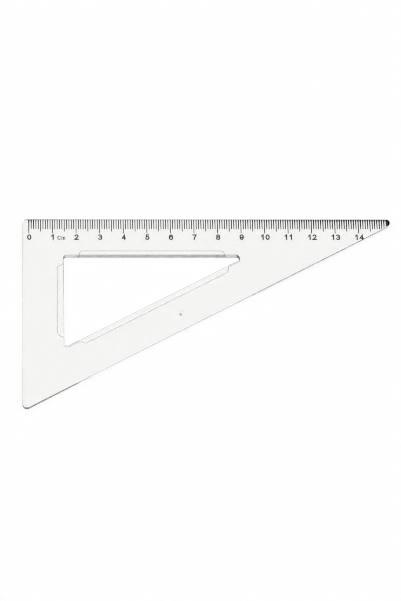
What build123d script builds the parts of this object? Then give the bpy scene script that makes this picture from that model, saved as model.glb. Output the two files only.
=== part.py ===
from build123d import *
import math
import os

# 30/60 drafting triangle: one clear moulded plate and the scale stamped on it.
# Lengths in millimetres, angles in degrees. The plate lies flat with its scale
# edge towards +Y, its 30 degree tip towards +X and its printed face up.

# Outline of the plate
long_leg = 162.3            # scale edge, measured between its sharp corners
acute_angle = 30.0          # angle at the tip
right_angle = 90.0
plate_thickness = 1.8
corner_radius = 2.0         # rounding of the three outer corners in plan
edge_radius = 0.45          # rounding along the outer edges of both faces

# Triangular opening
scale_border = 18.75        # from the scale edge to the opening
short_border = 17.7         # from the short edge to the opening
slope_border = 17.45        # from the sloping edge to the opening
opening_radius = 1.15       # rounding of the opening's corners in plan
rim_radius = 0.15           # rounding along the opening on the printed face

# Finger recess in the underside: a ledge all round the opening, wide along
# the three sides and narrow at the corners
recess_depth = 0.6
corner_ledge = 0.3          # width of the ledge at the corners
scale_recess_width = 3.2    # width of the ledge along the scale side
slope_recess_width = 2.4    # along the sloping side
short_recess_width = 2.75   # along the short side
recess_end_run = 1.4        # length of a curved end along the side
recess_end_radius = 1.2     # both bends of a curved end
brow_radius = 0.3           # rounding where the recess leaves the underside
foot_radius = 0.1           # rounding where its wall meets the ledge
lip_radius = 0.1            # rounding under the lip at the opening
scale_recess_start = 5.9    # from the opening's square corner
scale_recess_end = 8.6      # from the opening's 30 degree corner
slope_recess_start = 9.2    # from the opening's 30 degree corner
slope_recess_end = 7.4      # from the opening's 60 degree corner
short_recess_start = 5.1    # from the opening's 60 degree corner
short_recess_end = 3.3      # from the opening's square corner

# Gate mark left by the moulding tool in the printed face: a well round a broken pip
gate_inset = 6.94           # from the sloping edge
gate_along_share = 0.569    # of the sloping edge, from the tip
gate_well_diameter = 3.8    # round the broken pip, at the printed face
gate_floor_diameter = 3.1   # at the well's floor
gate_well_depth = 0.45
gate_pip_diameter = 1.1
gate_pip_sink = 0.1         # the broken pip stays this far under the face

# Stamped scale
zero_inset = 3.04           # zero mark, from the short edge
graduation = 1.0            # one mark every millimetre
marks_per_half = 5
marks_per_whole = 10
mark_width = 0.32
millimetre_reach = 5.15     # ends of the marks, from the scale edge
half_reach = 6.35
whole_reach = 7.3
tip_clear = 0.7             # bare plastic between the last mark and the tip
mark_inset = 0.3            # bare plastic between the edge and a mark
ink_film = 0.02             # thickness of the stamped ink

overrun = 1.0               # how far cutting bodies stand proud
same_level = 0.001          # edges closer in height than this are on one level

# Derived places
short_leg = long_leg * math.tan(math.radians(acute_angle))
tip_trim = corner_radius / math.tan(math.radians(acute_angle / 2)) - corner_radius
low_trim = corner_radius / math.tan(math.radians((right_angle - acute_angle) / 2)) - corner_radius
overall_width = long_leg - tip_trim
overall_height = short_leg - low_trim
short_x = -overall_width / 2
scale_y = overall_height / 2
widest_recess = max(scale_recess_width, slope_recess_width, short_recess_width)
slope_out = Vector(math.sin(math.radians(acute_angle)), -math.cos(math.radians(acute_angle)))


def rounded_triangle(corners, radius):
    face = make_face(Polyline(*corners, close=True))
    return fillet(face.vertices(), radius)


def plate_outline():
    square = (short_x, scale_y)
    tip = (short_x + long_leg, scale_y)
    low = (short_x, scale_y - short_leg)
    return rounded_triangle([square, tip, low], corner_radius)


def opening_corners():
    left = short_x + short_border
    top = scale_y - scale_border
    square = Vector(left, top)
    slope_offset = slope_out.dot(Vector(short_x + long_leg, scale_y)) - slope_border
    tip = Vector((slope_offset - slope_out.Y * top) / slope_out.X, top)
    low = Vector(left, (slope_offset - slope_out.X * left) / slope_out.Y)
    return square, tip, low


def edges_at(body, height):
    return body.edges().filter_by_position(Axis.Z, height - same_level, height + same_level)


def near_opening(edge, reach):
    square, tip, low = opening_corners()
    point = edge.center()
    inside_left = point.X > square.X - reach
    inside_top = point.Y < square.Y + reach
    inside_slope = slope_out.dot(Vector(point.X, point.Y)) < slope_out.dot(tip) + reach
    return inside_left and inside_top and inside_slope


def pierced_plate():
    outer = extrude(plate_outline(), plate_thickness)
    outer = fillet(edges_at(outer, 0) + edges_at(outer, plate_thickness), edge_radius)
    opening = extrude(rounded_triangle(opening_corners(), opening_radius), plate_thickness + 2 * overrun)
    return outer - Pos(0, 0, -overrun) * opening


def side_recess(start, end, width, start_margin, end_margin):
    along = (end - start).normalized()
    first = start_margin
    last = (end - start).length - end_margin
    plan = Polyline(
        (first - recess_end_radius, 0),
        (first - recess_end_radius, corner_ledge),
        (first, corner_ledge),
        (first + recess_end_run, width),
        (last - recess_end_run, width),
        (last, corner_ledge),
        (last + recess_end_radius, corner_ledge),
        (last + recess_end_radius, 0),
        close=True,
    )
    face = make_face(plan)
    bends = face.vertices().filter_by_position(Axis.X, first, last)
    side_plane = Plane(origin=(start.X, start.Y, 0), x_dir=along, z_dir=(0, 0, 1))
    return side_plane * fillet(bends, recess_end_radius)


def recess_body():
    square, tip, low = opening_corners()
    plan = offset(rounded_triangle(opening_corners(), opening_radius), corner_ledge)
    plan += side_recess(square, tip, scale_recess_width, scale_recess_start, scale_recess_end)
    plan += side_recess(tip, low, slope_recess_width, slope_recess_start, slope_recess_end)
    plan += side_recess(low, square, short_recess_width, short_recess_start, short_recess_end)
    return extrude(plan, recess_depth + overrun)


def rounded_recess(plate):
    reach = widest_recess + edge_radius
    brow = [edge for edge in edges_at(plate, 0) if near_opening(edge, reach)]
    plate = fillet(brow, brow_radius)
    foot = [edge for edge in edges_at(plate, recess_depth) if not near_opening(edge, corner_ledge / 2)]
    plate = fillet(foot, foot_radius)
    lip = [edge for edge in edges_at(plate, recess_depth) if near_opening(edge, corner_ledge / 2)]
    plate = fillet(lip, lip_radius)
    rim = [edge for edge in edges_at(plate, plate_thickness) if near_opening(edge, edge_radius)]
    return fillet(rim, rim_radius)


def gate_mark(plate):
    tip = Vector(short_x + long_leg, scale_y)
    low = Vector(short_x, scale_y - short_leg)
    place = tip + (low - tip) * gate_along_share - slope_out * gate_inset
    well = Cone(gate_floor_diameter / 2, gate_well_diameter / 2, gate_well_depth)
    well_centre = plate_thickness - gate_well_depth / 2
    pip_height = 2 * gate_well_depth - gate_pip_sink
    pip_centre = plate_thickness - gate_pip_sink - pip_height / 2
    pip = Pos(place.X, place.Y, pip_centre) * Cylinder(gate_pip_diameter / 2, pip_height)
    return plate - Pos(place.X, place.Y, well_centre) * well + pip


def clear_plate():
    plate = pierced_plate() - Pos(0, 0, -overrun) * recess_body()
    return gate_mark(rounded_recess(plate))


def scale_marks(numbers, reach):
    print_area = offset(plate_outline(), -mark_inset)
    marks = []
    for number in numbers:
        x = short_x + zero_inset + number * graduation
        mark = Pos(x, scale_y - reach / 2) * Rectangle(mark_width, reach)
        printed = mark & print_area
        marks.append(Pos(0, 0, plate_thickness) * extrude(printed, ink_film))
    return Compound(children=marks)


def write_part(shape, name):
    shape.label = name
    export_step(shape, os.path.join("parts", name + ".step"))


last_mark = int((overall_width - tip_clear - zero_inset) / graduation)
whole_numbers = [n for n in range(last_mark + 1) if n % marks_per_whole == 0]
half_numbers = [n for n in range(last_mark + 1) if n % marks_per_whole == marks_per_half]
fine_numbers = [n for n in range(last_mark + 1) if n % marks_per_half]

os.makedirs("parts", exist_ok=True)
write_part(clear_plate(), "clear_plate")
write_part(scale_marks(fine_numbers, millimetre_reach), "millimetre_marks")
write_part(scale_marks(half_numbers, half_reach), "half_centimetre_marks")
write_part(scale_marks(whole_numbers, whole_reach), "centimetre_marks")
print("overall", round(overall_width, 2), round(overall_height, 2), "last mark", last_mark)
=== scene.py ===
import math
import random
import bmesh
import bpy
from mathutils import Matrix, Vector


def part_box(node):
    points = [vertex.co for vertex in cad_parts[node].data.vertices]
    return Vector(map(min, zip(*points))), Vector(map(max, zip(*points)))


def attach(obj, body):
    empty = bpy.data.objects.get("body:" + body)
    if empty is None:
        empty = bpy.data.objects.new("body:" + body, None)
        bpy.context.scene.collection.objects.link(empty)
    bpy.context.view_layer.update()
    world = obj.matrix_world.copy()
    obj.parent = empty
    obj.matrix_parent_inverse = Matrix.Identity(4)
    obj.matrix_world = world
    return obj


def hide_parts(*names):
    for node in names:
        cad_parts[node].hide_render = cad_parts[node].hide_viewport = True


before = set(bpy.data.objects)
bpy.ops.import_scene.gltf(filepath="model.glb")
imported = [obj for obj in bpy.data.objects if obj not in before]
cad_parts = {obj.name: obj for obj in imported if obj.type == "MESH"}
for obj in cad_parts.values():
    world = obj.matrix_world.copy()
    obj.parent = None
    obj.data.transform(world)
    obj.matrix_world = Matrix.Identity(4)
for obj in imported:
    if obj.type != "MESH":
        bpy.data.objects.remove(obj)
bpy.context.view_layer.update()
mm = 0.001
hair = 0.0001 * mm             # points closer than this are one point
white = (1.0, 1.0, 1.0, 1.0)
scene = bpy.context.scene
scene.view_settings.view_transform = "Standard"
print("frame loaded:", sorted(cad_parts))


def linearFromHex(text):
    channels = [int(text[i:i + 2], 16) / 255 for i in (1, 3, 5)]
    linear = [c / 12.92 if c <= 0.04045 else ((c + 0.055) / 1.055) ** 2.4 for c in channels]
    return (*linear, 1.0)


def addNode(tree, kind, settings=None, links=None, values=None):
    node = tree.nodes.new(kind)
    for name, value in (settings or {}).items():
        setattr(node, name, value)
    for name, value in (values or {}).items():
        node.inputs[name].default_value = value
    for name, source in (links or {}).items():
        tree.links.new(source, node.inputs[name])
    return node


def newMaterial(name):
    material = bpy.data.materials.new(name)
    material.use_nodes = True
    material.node_tree.nodes.clear()
    return material, material.node_tree


def clamped(value):
    return min(max(value, 0.0), 1.0)


def smooth(value):
    value = clamped(value)
    return value * value * (3 - 2 * value)


def meshFrom(points, faces, name, material):
    mesh = bpy.data.meshes.new(name)
    mesh.from_pydata(points, [], faces)
    mesh.materials.append(material)
    return mesh


def finishPiece(mesh, pieceName, replaced=None):
    piece = bpy.data.objects.new(pieceName, mesh)
    scene.collection.objects.link(piece)
    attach(piece, "root")
    if replaced:
        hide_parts(replaced)
    print(pieceName, len(mesh.polygons), "faces")


# soft patches that make every finish a little uneven
patch = {
    "detail": 3.0,
    "roughness": 0.55,
    "low": 0.35,               # most of the pattern lies between these two
    "high": 0.65,
}


def patchyFinish(tree, size, roughness, colours=None):
    place = addNode(tree, "ShaderNodeTexCoord")
    patches = addNode(tree, "ShaderNodeTexNoise", links={"Vector": place.outputs["Object"]}, values={
        "Scale": 1 / size, "Detail": patch["detail"], "Roughness": patch["roughness"]})
    rough = addNode(tree, "ShaderNodeMapRange", links={"Value": patches.outputs["Fac"]}, values={
        "From Min": patch["low"], "From Max": patch["high"], "To Min": roughness[0], "To Max": roughness[1]})
    finish = {"Roughness": rough.outputs["Result"]}
    if colours:
        ramp = addNode(tree, "ShaderNodeValToRGB", links={"Fac": patches.outputs["Fac"]})
        for stop, colour in zip(ramp.color_ramp.elements, colours):
            stop.color = linearFromHex(colour)
        finish["Base Color"] = ramp.outputs["Color"]
    return finish


def opaqueMaterial(name, look):
    material, tree = newMaterial(name)
    finish = patchyFinish(tree, look["patchSize"], look["roughness"], look["colours"])
    shader = addNode(tree, "ShaderNodeBsdfPrincipled", links=finish, values={"IOR": look["ior"]})
    addNode(tree, "ShaderNodeOutputMaterial", links={"Surface": shader.outputs["BSDF"]})
    return material


# the moulded plate
plate = {
    "ior": 1.59,               # general purpose polystyrene
    "facePolish": (0.0, 0.03),
    "rubSize": 14 * mm,
    "wallPolish": (0.1, 0.2),
    "toolSize": 1.5 * mm,      # drawn coarser than the real tool marks, which no pixel would show
    "wallTurn": 0.93,          # faces that look up or down less than this are walls
    "colour": "#fffffd",
    "tint": "#dedcda",
    "absorption": 28.0,        # per metre
    "tipAngle": 30.0,
    "length": 162.3 * mm,      # scale edge between sharp corners
    "cornerRadius": 2.0 * mm,
    "edgeRadius": 0.45 * mm,
    "slack": 1.1,              # a wall's points are looked for this many times past its rounding
    "shortLean": 0.24 * mm,    # the short edge leans in this far at the printed face
    "shortFoot": 0.14 * mm,    # and this far at the underside
    "scaleLean": 0.07 * mm,    # the scale edge leans in this far at the printed face
    # places along the plate, and how far the sloping edge leans in there at the underside
    "slopeLeans": (
        (-52.0 * mm, 0.0),
        (-50.2 * mm, 0.5 * mm),
        (15.0 * mm, 0.38 * mm),
        (20.5 * mm, 0.22 * mm),
    ),
    "scaleBorder": 18.75 * mm,
    "shortBorder": 17.7 * mm,
    "openingLength": 77.224 * mm,   # along the scale, between sharp corners
    "openingRadius": 1.15 * mm,
    "ledgeHeight": 0.6 * mm,
    "lipRadius": 0.1 * mm,
    "rimRadius": 0.15 * mm,
    "shortDraft": 0.32 * mm,   # lean of the opening's wall at the short edge, over its height
    "scaleDraft": 0.8 * mm,    # lean of its wall at the scale
    "tipDraft": 0.4 * mm,      # lean in its corner towards the tip
    "gatePlace": (-11.94 * mm, -1.19 * mm),
    "wellRadius": 1.95 * mm,
    "wellDepth": 0.37 * mm,    # of the well round the broken pip
}


def clearPolystyrene(name, size, roughness):
    material, tree = newMaterial(name)
    shader = addNode(tree, "ShaderNodeBsdfPrincipled", links=patchyFinish(tree, size, roughness), values={
        "Base Color": linearFromHex(plate["colour"]), "Transmission Weight": 1.0, "IOR": plate["ior"]})
    depth = addNode(tree, "ShaderNodeVolumeAbsorption", values={
        "Color": linearFromHex(plate["tint"]), "Density": plate["absorption"]})
    addNode(tree, "ShaderNodeOutputMaterial", links={
        "Surface": shader.outputs["BSDF"], "Volume": depth.outputs["Volume"]})
    return material


# nearest point of a triangle, or the point itself where it lies inside
def nearestInside(point, corners):
    best = None
    inside = True
    for i, start in enumerate(corners):
        end = corners[(i + 1) % 3]
        along = end - start
        inside = inside and along.x * (point.y - start.y) - along.y * (point.x - start.x) >= 0
        spot = start + clamped((point - start).dot(along) / along.length_squared) * along
        if best is None or (point - spot).length < (point - best).length:
            best = spot
    return point if inside else best


# corners of a rounded triangle drawn in by its own rounding
def drawnIn(left, top, length, radius):
    slope = math.radians(plate["tipAngle"])
    reach = length - radius - radius / math.tan(slope / 2)
    square = Vector((left + radius, top - radius))
    return [square, square - Vector((0, reach * math.tan(slope))), square + Vector((reach, 0))]


# cuts across the sloping edge, where its lean changes
def cutSlope(mesh, outline, slopeOut):
    form = bmesh.new()
    form.from_mesh(mesh)
    along = Vector((-slopeOut.y, slopeOut.x))

    def outwardReach(point):
        return (point - nearestInside(point, outline)).dot(slopeOut)

    for place, _ in plate["slopeLeans"]:
        edge = outline[2] + along * (place - outline[2].x) / along.x
        wallReach = plate["cornerRadius"] - plate["edgeRadius"]
        wall = [face for face in form.faces if outwardReach(face.calc_center_median().xy) > wallReach]
        parts = dict.fromkeys(part for face in wall for part in (face, *face.edges, *face.verts))
        bmesh.ops.bisect_plane(form, geom=list(parts), dist=hair, plane_co=(*edge, 0), plane_no=(*along, 0))
        # the flat faces beside the wall get the same points on their borders
        borderReach = plate["cornerRadius"] - plate["slack"] * plate["edgeRadius"]
        for border in list(form.edges):
            ends = [corner.co.xy for corner in border.verts]
            before, after = [(end - edge).dot(along) for end in ends]
            crosses = before * after < 0 and min(abs(before), abs(after)) > hair
            if crosses and min(outwardReach(end) for end in ends) > borderReach:
                bmesh.utils.edge_split(border, border.verts[0], before / (before - after))
    form.to_mesh(mesh)
    form.free()


def slopeLean(place):
    stations = plate["slopeLeans"]
    for (start, first), (end, last) in zip(stations, stations[1:]):
        if place < end:
            return first + max((place - start) / (end - start), 0.0) * (last - first)
    return stations[-1][1]


# walls lean so that the moulding can leave its tool
def leanWalls(mesh, opening, outline, slopeOut, thickness):
    gatePlace = Vector(plate["gatePlace"])
    lip = plate["ledgeHeight"] + plate["lipRadius"]
    rim = thickness - plate["rimRadius"]
    edge = plate["edgeRadius"]
    for vertex in mesh.vertices:
        point, height = vertex.co.xy, vertex.co.z
        inward = point - nearestInside(point, opening)
        outward = point - nearestInside(point, outline)
        if (point - gatePlace).length < plate["wellRadius"] and height > thickness / 2:
            vertex.co.z = max(height, thickness - plate["wellDepth"])
        elif inward.length - plate["openingRadius"] < plate["slack"] * plate["rimRadius"]:
            lean = clamped((height - lip) / (rim - lip))
            inward.normalize()
            draft = plate["shortDraft"] * max(-inward.x, 0) ** 2
            draft += plate["scaleDraft"] * max(inward.y, 0) ** 2
            draft += plate["tipDraft"] * max(2 * inward.x - 1, 0)
            vertex.co.xy = point + inward * draft * lean
        elif outward.length - plate["cornerRadius"] > -plate["slack"] * edge:
            lean = clamped((height - edge) / (thickness - 2 * edge))
            outward.normalize()
            towardsShort = max(-outward.x, 0) ** 2
            topIn = plate["shortLean"] * towardsShort + plate["scaleLean"] * max(outward.y, 0) ** 2
            footIn = slopeLean(point.x) * max(outward.dot(slopeOut), 0) ** 2
            footIn += plate["shortFoot"] * towardsShort
            vertex.co.xy = point - outward * (topIn * lean + footIn * (1 - lean))


def mouldPlate(pieceName):
    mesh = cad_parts["clear_plate"].data.copy()
    mesh.name = pieceName
    low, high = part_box("clear_plate")
    opening = drawnIn(
        low.x + plate["shortBorder"], high.y - plate["scaleBorder"],
        plate["openingLength"], plate["openingRadius"])
    outline = drawnIn(low.x, high.y, plate["length"], plate["cornerRadius"])
    slope = math.radians(plate["tipAngle"])
    slopeOut = Vector((math.sin(slope), -math.cos(slope)))
    cutSlope(mesh, outline, slopeOut)
    leanWalls(mesh, opening, outline, slopeOut, high.z)
    mesh.materials.clear()
    # faces: a mirror-smooth clear skin, faintly duller where hands have rubbed it
    mesh.materials.append(clearPolystyrene(
        "polished_clear_polystyrene", plate["rubSize"], plate["facePolish"]))
    # walls: the satin left by the tool's sides, which blurs the light caught in the plate
    mesh.materials.append(clearPolystyrene(
        "satin_wall_polystyrene", plate["toolSize"], plate["wallPolish"]))
    for polygon in mesh.polygons:
        polygon.material_index = int(abs(polygon.normal.z) < plate["wallTurn"])
    finishPiece(mesh, pieceName, "clear_plate")


# the rough end of the pip where the runner broke off
gate = {
    "reach": 0.6 * mm,         # the pip's points lie this close to its middle
    "radius": 0.56 * mm,
    "ragged": 0.82,            # its rim comes in to this share of the radius
    "height": 0.07 * mm,
    "points": 12,
    "ior": plate["ior"],
    "colours": ("#9b9893", "#c9c6c1"),
    "roughness": (0.75, 0.5),
    "patchSize": 0.35 * mm,
}


def breakGate(pieceName):
    spot = Vector(plate["gatePlace"])
    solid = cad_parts["clear_plate"].data
    top = max(v.co.z for v in solid.vertices if (v.co.xy - spot).length < gate["reach"])
    dice = random.Random(pieceName)
    count = gate["points"]
    points = []
    for i in range(count):
        turn = 2 * math.pi * i / count
        radius = gate["radius"] * dice.uniform(gate["ragged"], 1.0)
        rim = spot + radius * Vector((math.cos(turn), math.sin(turn)))
        points.append((*rim, top - gate["height"] / 2))
    points.append((*spot, top + gate["height"]))
    faces = [(i, (i + 1) % count, count) for i in range(count)] + [tuple(range(count))[::-1]]
    # broken plastic, whose fine cracks scatter the light and look grey
    material = opaqueMaterial("crazed_polystyrene", gate)
    finishPiece(meshFrom(points, faces, pieceName, material), pieceName)


# the stamped scale
ink = {
    "ior": 1.5,
    "colours": ("#131213", "#2f2d2d"),
    "roughness": (0.62, 0.42),
    "patchSize": 0.9 * mm,
    "pitch": 1.0 * mm,
    "flareCuts": (0.6 * mm, 1.0 * mm, 1.8 * mm),   # from the scale edge, where a stroke's sides bend
    "bareEdge": 0.42 * mm,     # strokes start this far inside the scale edge
    "flareFade": 0.9 * mm,     # the widening at the edge falls off over this length
    "flare": 0.7,              # widening at the edge, share of the stroke's width, which darkens the strip along the scale edge
    "tipFlare": 3.0,           # more of it at the tip
    "tipStart": 0.35,          # of the scale, where the widening starts to grow
    "startFlare": 2.2,         # and at the zero end
    "startRun": 5.0,           # strokes over which that fades
    "wobble": 0.05,            # uneven stroke widths
}


# middle of the zero stroke and the scale edge
def zeroMark():
    low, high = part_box("centimetre_marks")
    width = (high.x - low.x) % ink["pitch"]
    return low.x + width / 2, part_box("clear_plate")[1].y


# the printed face and the thickness of the ink on it
def inkLevel():
    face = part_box("clear_plate")[1].z
    return face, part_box("centimetre_marks")[1].z - face


def stampMarks(nodeName, pieceName, material):
    face, film = inkLevel()
    zeroX, edgeY = zeroMark()
    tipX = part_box("clear_plate")[1].x
    dice = random.Random(nodeName)
    wobble = {}
    form = bmesh.new()
    form.from_mesh(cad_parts[nodeName].data)
    for cut in ink["flareCuts"]:
        everything = form.verts[:] + form.edges[:] + form.faces[:]
        bmesh.ops.bisect_plane(form, geom=everything, plane_co=(0, edgeY - cut, 0), plane_no=(0, 1, 0))
    for vertex in form.verts:
        number = round((vertex.co.x - zeroX) / ink["pitch"])
        middle = zeroX + number * ink["pitch"]
        width = wobble.setdefault(number, 1 + ink["wobble"] * dice.uniform(-1, 1))
        # strokes are drawn wider near the scale edge, more so towards the tip and at the zero end, which
        # darkens the scale edge there
        along = smooth(((middle - zeroX) / (tipX - zeroX) - ink["tipStart"]) / (1 - ink["tipStart"]))
        spread = ink["flare"] + ink["tipFlare"] * along
        spread += ink["startFlare"] * smooth(1 - number / ink["startRun"])
        spread *= math.exp((vertex.co.y - edgeY) / ink["flareFade"])
        vertex.co.x = middle + (vertex.co.x - middle) * width * (1 + spread)
        vertex.co.y = min(vertex.co.y, edgeY - ink["bareEdge"])
        vertex.co.z = face + 2 * (vertex.co.z - face) - film    # the film sinks in as far as it stands proud
    mesh = bpy.data.meshes.new(pieceName)
    form.to_mesh(mesh)
    form.free()
    mesh.materials.append(material)
    finishPiece(mesh, pieceName, nodeName)


# a solid patch of ink near the rounded tip, which darkens the tip
blot = {
    "clear": 0.3 * mm,         # bare edge round the blot
    "length": 1.75 * mm,       # from the tip
    "ragged": 0.25 * mm,
    "points": 14,
}


def stampBlot(pieceName, material):
    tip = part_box("clear_plate")[1]
    face, film = inkLevel()
    dice = random.Random(pieceName)
    middle = (tip.x - plate["cornerRadius"], tip.y - plate["cornerRadius"])
    radius = plate["cornerRadius"] - blot["clear"]
    half = math.acos((plate["cornerRadius"] - blot["length"]) / radius)
    count = blot["points"]
    turns = [half * (1 - 2 * i / count) for i in range(count + 1)]
    outline = [(middle[0] + radius * math.cos(t), middle[1] + radius * math.sin(t)) for t in turns]
    first, last = outline[-1], outline[0]
    for i in range(1, count):
        rise = (last[1] - first[1]) * (i / count)
        outline.append((first[0] + blot["ragged"] * dice.uniform(-1, 1), first[1] + rise))
    size = len(outline)
    points = [(x, y, face + lift) for lift in (film, -film) for x, y in outline]
    faces = [tuple(range(size))[::-1], tuple(range(size, 2 * size))]
    faces += [(i, (i + 1) % size, size + (i + 1) % size, size + i) for i in range(size)]
    finishPiece(meshFrom(points, faces, pieceName, material), pieceName)


# the stamped figures
figures = {
    "last": 14,
    "perFigure": 10,           # strokes of the scale between two figures
    "height": 2.7 * mm,
    "foot": 10.55 * mm,        # from the scale edge
    "width": 0.66,             # this and the next two as shares of the height
    "weight": 0.185,
    "gap": 0.1,
}

# the stamped unit sign
unit = {
    "text": "Cm",
    "place": 13.55,            # middle, in strokes of the scale from zero
    "height": 1.95 * mm,
    "foot": 10.5 * mm,
    "width": 0.8,
    "weight": 0.15,
    "gap": 0.1,
}

# the pen that draws both
pen = {
    "shift": 0.16 * mm,        # letters stand this far right of their strokes
    "arcStep": 15,             # degrees
    "closed": 0.01,            # a path whose ends are nearer than this share of the pen is a ring
    "sharpest": 0.35,          # limit for the mitre at a sharp bend
}


def arc(middle, radii, start, end):
    count = max(2, round(abs(end - start) / pen["arcStep"]))
    turns = [math.radians(start + (end - start) * i / count) for i in range(count + 1)]
    return [(middle[0] + radii[0] * math.cos(t), middle[1] + radii[1] * math.sin(t)) for t in turns]


# pen paths in a box one wide and one high, the foot at zero
def penPaths(letter):
    if letter == "0":
        return [arc((0.5, 0.5), (0.5, 0.5), 0, 360)]
    if letter == "1":
        return [[(0.12, 0.74), (0.6, 1), (0.6, 0)]]
    if letter == "2":
        return [arc((0.49, 0.71), (0.47, 0.29), 165, -38) + [(0, 0), (1, 0)]]
    if letter == "3":
        return [arc((0.46, 0.76), (0.44, 0.24), 150, -90), arc((0.48, 0.27), (0.52, 0.27), 90, -155)]
    if letter == "4":
        return [[(0.74, 0), (0.74, 1), (0, 0.28), (1, 0.28)]]
    if letter == "5":
        return [[(0.92, 1), (0.2, 1), (0.08, 0.5)] + arc((0.47, 0.32), (0.53, 0.32), 125, -155)]
    if letter == "6":
        return [arc((0.5, 0.31), (0.5, 0.31), 0, 360), arc((0.53, 0.5), (0.53, 0.5), 30, 180) + [(0, 0.31)]]
    if letter == "7":
        return [[(0, 1), (1, 1), (0.58, 0.5), (0.36, 0)]]
    if letter == "8":
        return [arc((0.5, 0.77), (0.43, 0.23), 0, 360), arc((0.5, 0.27), (0.5, 0.27), 0, 360)]
    if letter == "9":
        return [[(1 - x, 1 - y) for x, y in path] for path in penPaths("6")]
    if letter == "C":
        return [arc((0.5, 0.5), (0.5, 0.5), 42, 318)]
    # the small m of the unit
    arches = [arc((0.25, 0.46), (0.25, 0.26), 180, 0), arc((0.75, 0.46), (0.25, 0.26), 180, 0)]
    return [[(0, 0), (0, 0.72)]] + [arch + [(arch[-1][0], 0)] for arch in arches]


# one pen path as a flat strip with mitred bends and square ends
def penStrip(path, weight):
    path = [Vector(p) for p in path]
    ring = (path[0] - path[-1]).length < weight * pen["closed"]
    if ring:
        path = path[:-1]
    else:
        path[0] += (path[0] - path[1]).normalized() * weight / 2
        path[-1] += (path[-1] - path[-2]).normalized() * weight / 2
    sides = []
    for i, point in enumerate(path):
        before = point - path[i - 1] if ring or i > 0 else path[1] - point
        after = path[(i + 1) % len(path)] - point if ring or i + 1 < len(path) else before
        first = Vector((-before.y, before.x)).normalized()
        second = Vector((-after.y, after.x)).normalized()
        bend = (first + second).normalized()
        reach = weight / 2 / max(bend.dot(first), pen["sharpest"])
        sides.append((point + bend * reach, point - bend * reach))
    return sides, ring


def stampLetters(pieceName, material, look, words):
    face, film = inkLevel()
    zeroX, edgeY = zeroMark()
    height = look["height"]
    width, weight, gap = (look[k] * height for k in ("width", "weight", "gap"))
    points, faces = [], []
    for text, place in words:
        middle = zeroX + place * ink["pitch"] + pen["shift"]
        start = middle - (len(text) * width + (len(text) - 1) * gap) / 2
        for number, letter in enumerate(text):
            corner = Vector((start + number * (width + gap), edgeY - look["foot"]))
            corner += Vector((weight / 2, weight / 2))
            for path in penPaths(letter):
                scaled = [(x * (width - weight), y * (height - weight)) for x, y in path]
                sides, ring = penStrip(scaled, weight)
                base = len(points)
                for pair in sides:
                    points += [(*(corner + side), face + lift) for side in pair for lift in (film, -film)]
                count = len(sides)
                for i in range(count if ring else count - 1):
                    a, b = base + 4 * i, base + 4 * ((i + 1) % count)
                    faces += [(a, a + 2, b + 2, b), (a + 1, b + 1, b + 3, a + 3)]
                    faces += [(a, b, b + 1, a + 1), (a + 2, a + 3, b + 3, b + 2)]
                if not ring:
                    end = base + 4 * (count - 1)
                    faces += [(base, base + 1, base + 3, base + 2), (end, end + 2, end + 3, end + 1)]
    finishPiece(meshFrom(points, faces, pieceName, material), pieceName)


# the stage: white card under a soft tent with one large light at the left and a smaller one at the right
studio = {
    "floorColour": "#fbfbfa",
    "floorSide": 6.0,
    "floorGap": 0.1 * mm,
    "floorGlow": 0.88,         # share of the card that shows plain white, the rest keeps the shadow
    "tent": 0.25,
    "lights": (                # azimuth, elevation, half angles of the full and the faded part, strength
        (180, 58, 12, 38, 2.85),
        (8, 42, 8, 28, 1.95),
        (110, 25, 10, 40, 0.5),
    ),
    "bounces": 64,             # light caught in the clear plate turns many corners before it leaves
    "diffuseBounces": 8,
    "filterWidth": 1.0,        # pixels, so that fine strokes stay crisp
}


# matt card that looks plain white, also through the plate, and still takes a faint shadow
def whiteCard():
    material, tree = newMaterial("white_card")
    path = addNode(tree, "ShaderNodeLightPath")
    seen = addNode(tree, "ShaderNodeMath", {"operation": "MAXIMUM"}, {
        0: path.outputs["Is Camera Ray"], 1: path.outputs["Is Glossy Ray"]})
    seen = addNode(tree, "ShaderNodeMath", {"operation": "MAXIMUM"}, {
        0: seen.outputs["Value"], 1: path.outputs["Is Transmission Ray"]})
    share = addNode(tree, "ShaderNodeMath", {"operation": "MULTIPLY"}, {
        0: seen.outputs["Value"]}, {1: studio["floorGlow"]})
    card = addNode(tree, "ShaderNodeBsdfDiffuse", values={"Color": linearFromHex(studio["floorColour"])})
    glow = addNode(tree, "ShaderNodeEmission", values={"Color": white, "Strength": 1.0})
    both = addNode(tree, "ShaderNodeMixShader", links={
        0: share.outputs["Value"], 1: card.outputs["BSDF"], 2: glow.outputs["Emission"]})
    addNode(tree, "ShaderNodeOutputMaterial", links={"Surface": both.outputs["Shader"]})
    return material


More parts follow.
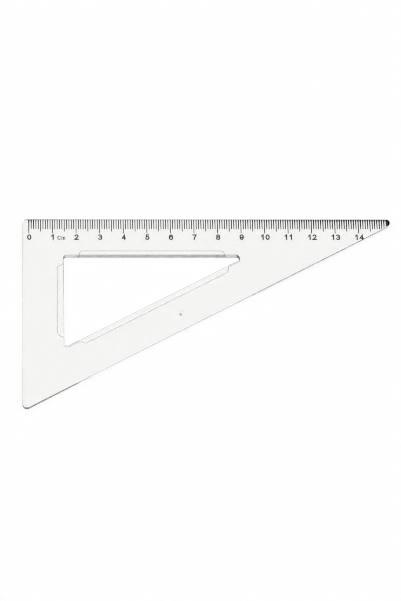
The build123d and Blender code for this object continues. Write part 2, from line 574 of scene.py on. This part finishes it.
def softTent():
    world = bpy.data.worlds.new("soft_tent")
    world.use_nodes = True
    tree = world.node_tree
    tree.nodes.clear()
    place = addNode(tree, "ShaderNodeTexCoord")
    total = None
    for azimuth, elevation, full, faded, strength in studio["lights"]:
        turn, rise = math.radians(azimuth), math.radians(elevation)
        level = math.cos(rise)
        towards = Vector((math.cos(turn) * level, math.sin(turn) * level, math.sin(rise)))
        facing = addNode(tree, "ShaderNodeVectorMath", {"operation": "DOT_PRODUCT"}, {
            0: place.outputs["Generated"]}, {1: towards})
        light = addNode(tree, "ShaderNodeMapRange", {"interpolation_type": "SMOOTHSTEP"}, {
            "Value": facing.outputs["Value"]}, {
            "From Min": math.cos(math.radians(faded)), "From Max": math.cos(math.radians(full)),
            "To Min": 0.0, "To Max": strength})
        added = addNode(tree, "ShaderNodeMath", {"operation": "ADD"}, {
            0: light.outputs["Result"]}, {1: studio["tent"]})
        if total:
            tree.links.new(total, added.inputs[1])
        total = added.outputs["Value"]
    sky = addNode(tree, "ShaderNodeBackground", links={"Strength": total}, values={"Color": white})
    backdrop = addNode(tree, "ShaderNodeBackground", values={"Color": white, "Strength": 1.0})
    path = addNode(tree, "ShaderNodeLightPath")
    both = addNode(tree, "ShaderNodeMixShader", links={
        0: path.outputs["Is Camera Ray"], 1: sky.outputs["Background"], 2: backdrop.outputs["Background"]})
    addNode(tree, "ShaderNodeOutputWorld", links={"Surface": both.outputs["Shader"]})
    return world


def setStage():
    half = studio["floorSide"] / 2
    corners = [(-half, -half), (half, -half), (half, half), (-half, half)]
    points = [(x, y, -studio["floorGap"]) for x, y in corners]
    floor = bpy.data.objects.new("floor", meshFrom(points, [(0, 1, 2, 3)], "floor", whiteCard()))
    scene.collection.objects.link(floor)
    scene.world = softTent()
    scene.cycles.max_bounces = studio["bounces"]
    scene.cycles.glossy_bounces = studio["bounces"]
    scene.cycles.transmission_bounces = studio["bounces"]
    scene.cycles.diffuse_bounces = studio["diffuseBounces"]
    scene.cycles.blur_glossy = 0.0
    scene.cycles.filter_width = studio["filterWidth"]
    print("stage set with", len(studio["lights"]), "lights in the tent")


# the camera, fitted to the scale's marks and the outer edges
view = {
    "azimuth": -5.2306,        # degrees
    "tilt": 31.4084,           # degrees from straight down
    "roll": 4.4476,            # degrees
    "distance": 1723.39 * mm,
    "target": (-3.474 * mm, 5.489 * mm),   # on the printed face
    "lens": 245.86,
}


def setCamera():
    azimuth, tilt, roll = (math.radians(view[k]) for k in ("azimuth", "tilt", "roll"))
    back = Vector((math.sin(azimuth) * math.sin(tilt), -math.cos(azimuth) * math.sin(tilt), math.cos(tilt)))
    level = Vector((math.cos(azimuth), math.sin(azimuth), 0))
    rise = back.cross(level)
    right = math.cos(roll) * level + math.sin(roll) * rise
    up = math.cos(roll) * rise - math.sin(roll) * level
    data = bpy.data.cameras.new("camera")
    data.lens = view["lens"]
    camera = bpy.data.objects.new("camera", data)
    scene.collection.objects.link(camera)
    turn = Matrix((right, up, back)).transposed().to_4x4()
    target = Vector((*view["target"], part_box("clear_plate")[1].z))
    camera.matrix_world = Matrix.Translation(target + view["distance"] * back) @ turn
    scene.camera = camera
    print("camera set", round(view["distance"], 3), "m away")


mouldPlate("moulded_plate")
# black foil film: dense, a little greyer and glossier in patches where it went on thin
inkMaterial = opaqueMaterial("stamped_black_foil", ink)
for name in ("millimetre_marks", "half_centimetre_marks", "centimetre_marks"):
    stampMarks(name, "stamped_" + name, inkMaterial)
stampLetters("stamped_figures", inkMaterial, figures, [
    (str(n), n * figures["perFigure"]) for n in range(figures["last"] + 1)])
stampLetters("stamped_unit", inkMaterial, unit, [(unit["text"], unit["place"])])
stampBlot("stamped_tip_blot", inkMaterial)
breakGate("broken_gate")
setStage()
setCamera()
